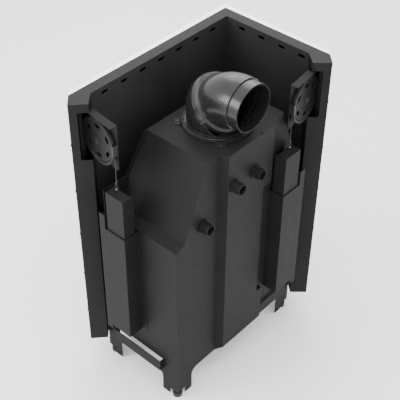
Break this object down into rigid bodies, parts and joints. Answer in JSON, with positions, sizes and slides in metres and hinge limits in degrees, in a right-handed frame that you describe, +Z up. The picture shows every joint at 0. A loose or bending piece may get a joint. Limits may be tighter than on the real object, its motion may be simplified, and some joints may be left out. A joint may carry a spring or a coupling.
{
  "type": "fireplace insert",
  "caption": "Corner fireplace insert on a raised base, with a two-sided lift-up glass door, counterweights on pulleys, a tall L-shaped casing and a turning flue outlet.",
  "frame": {"origin": "under the middle of the plan, on the floor", "axes": "+Z up; -Y faces out of the long glass side, -X out of the short glass side, +Y is the rear with the flue outlet"},
  "size_m": [0.962, 0.616, 1.4863],
  "materials": {
    "casing_paint": "satin dark grey",
    "trim_steel": "bright zinc",
    "body_paint": "satin dark grey",
    "flue_paint": "semi-gloss dark grey",
    "door_paint": "satin black",
    "bare_steel": "plain",
    "cable_steel": "stranded",
    "iron": "matt",
    "pulley_paint": "satin dark grey",
    "fireclay": "matt",
    "glass": "clear ceramic",
    "seal": "woven glass rope"
  },
  "bodies": {
    "fireplace": {"casing_outer_panel": "casing_paint", "casing_inner_panel": "casing_paint", "casing_top_cap": "casing_paint", "end_post_front": "casing_paint", "end_post_side": "casing_paint", "plinth_panel": "casing_paint", "trim_frame": "trim_steel", "side_jacket": "body_paint", "rear_jacket": "body_paint", "roof_plate": "body_paint", "bulkhead_front": "body_paint", "bulkhead_side": "body_paint", "pipe_sleeves": "body_paint", "base_frame": "body_paint", "weight_channel_front": "body_paint", "weight_channel_side": "body_paint", "pulley_bracket_front": "body_paint", "pulley_bracket_side": "body_paint", "guide_rails": "body_paint", "firebox_shell": "body_paint", "flue_clamps": "flue_paint", "casing_screws": "bare_steel", "pulley_axle_front": "bare_steel", "pulley_axle_side": "bare_steel", "cable_keepers": "bare_steel", "cable_door_run_front": "cable_steel", "cable_wrap_front": "cable_steel", "cable_weight_run_front": "cable_steel", "cable_door_run_side": "cable_steel", "cable_wrap_side": "cable_steel", "cable_weight_run_side": "cable_steel", "log_guard": "iron", "levelling_feet": "iron", "lining_back": "fireclay", "lining_side": "fireclay", "floor_slab": "fireclay", "baffle_plate": "fireclay"},
    "door": {"door_frame": "door_paint", "door_carriages": "bare_steel", "glass_front": "glass", "glass_side": "glass", "glass_corner_seal": "seal", "door_rope_seal": "seal", "door_handle": "bare_steel"},
    "weight_front": {"weight_box_front": "body_paint", "weight_plates_front": "iron", "cable_end_front": "bare_steel"},
    "weight_side": {"weight_box_side": "body_paint", "weight_plates_side": "iron", "cable_end_side": "bare_steel"},
    "wheel_front": {"pulley_front": "pulley_paint"},
    "wheel_side": {"pulley_side": "pulley_paint"},
    "flue_base": {"flue_flange": "flue_paint", "flue_lower_half": "flue_paint", "flue_latches": "bare_steel"},
    "flue_elbow": {"flue_upper_half": "flue_paint"},
    "grate_stack": {"grate": "iron", "ash_pan": "bare_steel"},
    "air_control": {"air_slide": "bare_steel"}
  },
  "joints": [
    {"name": "door_lift", "type": "slide", "parent": "fireplace", "child": "door", "axis": [0, 0, 1], "range_m": [0, 0.53], "deforming": ["cable_door_run_front", "cable_door_run_side"]},
    {"name": "weight_front_drop", "type": "slide", "parent": "fireplace", "child": "weight_front", "axis": [0, 0, 1], "range_m": [-0.53, 0], "deforming": ["cable_weight_run_front"]},
    {"name": "weight_side_drop", "type": "slide", "parent": "fireplace", "child": "weight_side", "axis": [0, 0, 1], "range_m": [-0.53, 0], "deforming": ["cable_weight_run_side"]},
    {"name": "wheel_front_turn", "type": "hinge", "parent": "fireplace", "child": "wheel_front", "pos_m": [0.411, -0.1607, 1.262], "axis": [0.9925, -0.1219, 0], "range_deg": [-310, 0]},
    {"name": "wheel_side_turn", "type": "hinge", "parent": "fireplace", "child": "wheel_side", "pos_m": [-0.3337, 0.25, 1.262], "axis": [-0.1219, 0.9925, 0], "range_deg": [0, 310]},
    {"name": "flue_base_turn", "type": "hinge", "parent": "fireplace", "child": "flue_base", "pos_m": [-0.011, 0.07, 1.239], "axis": [0, 0, 1], "continuous": true},
    {"name": "flue_elbow_turn", "type": "hinge", "parent": "flue_base", "child": "flue_elbow", "pos_m": [-0.011, 0.093, 1.346], "axis": [0, 0.7071, 0.7071], "continuous": true},
    {"name": "grate_lift", "type": "slide", "parent": "fireplace", "child": "grate_stack", "axis": [0, 0, 1], "range_m": [0, 0.2]},
    {"name": "air_control_slide", "type": "slide", "parent": "fireplace", "child": "air_control", "axis": [1, 0, 0], "range_m": [0, 0.04]}
  ],
  "couplings": [
    {"joint": "weight_front_drop", "follows": "door_lift", "ratio": -1},
    {"joint": "weight_side_drop", "follows": "door_lift", "ratio": -1},
    {"joint": "wheel_front_turn", "follows": "door_lift", "rad_per_m": -10.204},
    {"joint": "wheel_side_turn", "follows": "door_lift", "rad_per_m": 10.204}
  ]
}
